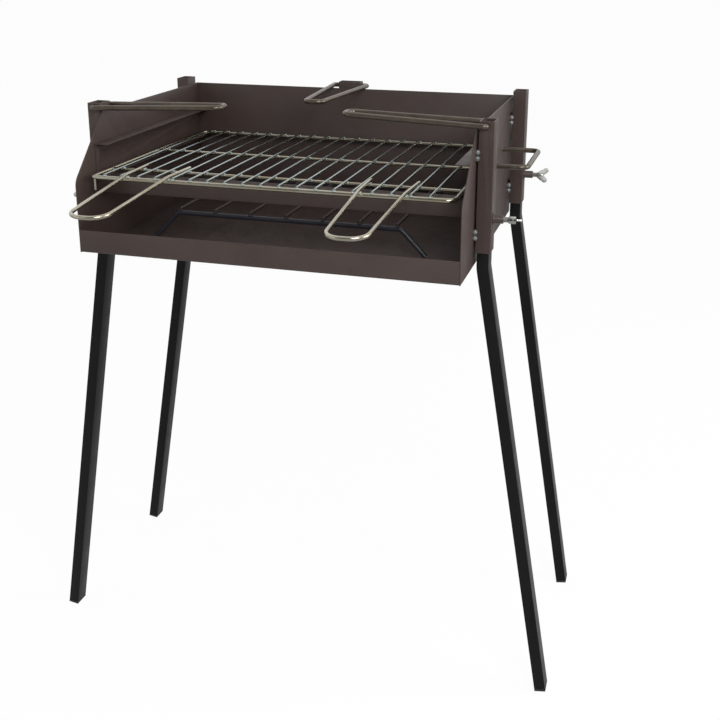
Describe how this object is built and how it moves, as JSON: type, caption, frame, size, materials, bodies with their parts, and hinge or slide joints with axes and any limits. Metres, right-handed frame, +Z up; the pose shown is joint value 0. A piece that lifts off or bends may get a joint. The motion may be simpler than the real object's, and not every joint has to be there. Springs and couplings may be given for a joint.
{
  "type": "portable charcoal barbecue",
  "caption": "Portable charcoal barbecue: open sheet steel fire tray on splayed plug-in tube legs, with a sliding wire grill and swinging rod supports for a wide pan.",
  "frame": {"origin": "on the ground, at the middle of the whole object's width and depth", "axes": "+X to the right seen from the open front, +Y to the back wall, +Z up"},
  "size_m": [0.8872, 0.6392, 0.9478],
  "materials": {
    "fire_box_paint": "dark heat-resistant paint, satin",
    "bare_weld": "bare weld beads",
    "leg_paint": "dark heat-resistant paint, satin",
    "rod_paint": "thin dark paint on steel rod, satin",
    "grill_zinc": "bright zinc plating",
    "screw_zinc": "dull zinc plating",
    "fire_black": "blackened steel, satin",
    "foot_cap_plastic": "black moulded plastic"
  },
  "bodies": {
    "fire_box": {"fire_tray": "fire_box_paint", "left_side_wall": "fire_box_paint", "right_side_wall": "fire_box_paint", "left_grill_guide": "fire_box_paint", "right_grill_guide": "fire_box_paint", "front_strip": "fire_box_paint", "left_front_socket": "fire_box_paint", "left_rear_socket": "fire_box_paint", "right_front_socket": "fire_box_paint", "right_rear_socket": "fire_box_paint", "left_front_boss": "fire_box_paint", "left_rear_boss": "fire_box_paint", "right_front_boss": "fire_box_paint", "right_rear_boss": "fire_box_paint", "socket_welds": "bare_weld", "rear_bracket": "fire_box_paint", "left_carry_handle": "rod_paint", "right_carry_handle": "rod_paint"},
    "left_front_leg": {"left_front_leg": "leg_paint", "left_front_foot_cap": "foot_cap_plastic"},
    "left_rear_leg": {"left_rear_leg": "leg_paint", "left_rear_foot_cap": "foot_cap_plastic"},
    "right_front_leg": {"right_front_leg": "leg_paint", "right_front_foot_cap": "foot_cap_plastic"},
    "right_rear_leg": {"right_rear_leg": "leg_paint", "right_rear_foot_cap": "foot_cap_plastic"},
    "left_front_wing_screw": {"left_front_wing_screw": "screw_zinc"},
    "left_rear_wing_screw": {"left_rear_wing_screw": "screw_zinc"},
    "right_front_wing_screw": {"right_front_wing_screw": "screw_zinc"},
    "right_rear_wing_screw": {"right_rear_wing_screw": "screw_zinc"},
    "left_pan_support": {"left_pan_support": "rod_paint"},
    "right_pan_support": {"right_pan_support": "rod_paint"},
    "rear_pan_support": {"rear_pan_support": "rod_paint"},
    "grill": {"grill_frame": "grill_zinc", "grill_handle_rod": "grill_zinc", "grill_middle_rod": "grill_zinc", "grill_bars": "grill_zinc", "left_grill_handle": "grill_zinc", "right_grill_handle": "grill_zinc"},
    "charcoal_grate": {"charcoal_rail": "fire_black", "charcoal_bars": "fire_box_paint"}
  },
  "joints": [
    {"name": "left_front_leg_slide", "type": "slide", "parent": "fire_box", "child": "left_front_leg", "axis": [0, 0, -1], "range_m": [0, 0.15]},
    {"name": "left_rear_leg_slide", "type": "slide", "parent": "fire_box", "child": "left_rear_leg", "axis": [0, 0, -1], "range_m": [0, 0.15]},
    {"name": "right_front_leg_slide", "type": "slide", "parent": "fire_box", "child": "right_front_leg", "axis": [0, 0, -1], "range_m": [0, 0.15]},
    {"name": "right_rear_leg_slide", "type": "slide", "parent": "fire_box", "child": "right_rear_leg", "axis": [0, 0, -1], "range_m": [0, 0.15]},
    {"name": "left_front_wing_screw_turn", "type": "hinge", "parent": "fire_box", "child": "left_front_wing_screw", "pos_m": [-0.33, -0.04243, 0.797], "axis": [-1, 0, 0], "range_deg": [0, 360]},
    {"name": "left_rear_wing_screw_turn", "type": "hinge", "parent": "fire_box", "child": "left_rear_wing_screw", "pos_m": [-0.33, 0.28057, 0.797], "axis": [-1, 0, 0], "range_deg": [0, 360]},
    {"name": "right_front_wing_screw_turn", "type": "hinge", "parent": "fire_box", "child": "right_front_wing_screw", "pos_m": [0.33, -0.04243, 0.797], "axis": [1, 0, 0], "range_deg": [0, 360]},
    {"name": "right_rear_wing_screw_turn", "type": "hinge", "parent": "fire_box", "child": "right_rear_wing_screw", "pos_m": [0.33, 0.28057, 0.797], "axis": [1, 0, 0], "range_deg": [0, 360]},
    {"name": "left_pan_support_pivot", "type": "hinge", "parent": "fire_box", "child": "left_pan_support", "pos_m": [-0.314, -0.04243, 0.9363], "axis": [0, -1, 0], "range_deg": [0, 240]},
    {"name": "right_pan_support_pivot", "type": "hinge", "parent": "fire_box", "child": "right_pan_support", "pos_m": [0.314, -0.04243, 0.9363], "axis": [0, 1, 0], "range_deg": [0, 240]},
    {"name": "rear_pan_support_pivot", "type": "hinge", "parent": "fire_box", "child": "rear_pan_support", "pos_m": [0, 0.30957, 0.9363], "axis": [-1, 0, 0], "range_deg": [0, 270]},
    {"name": "grill_slide", "type": "slide", "parent": "fire_box", "child": "grill", "axis": [0, -1, 0], "range_m": [0, 0.25]},
    {"name": "charcoal_grate_lift", "type": "slide", "parent": "fire_box", "child": "charcoal_grate", "axis": [0, 0, 1], "range_m": [0, 0.04]}
  ]
}
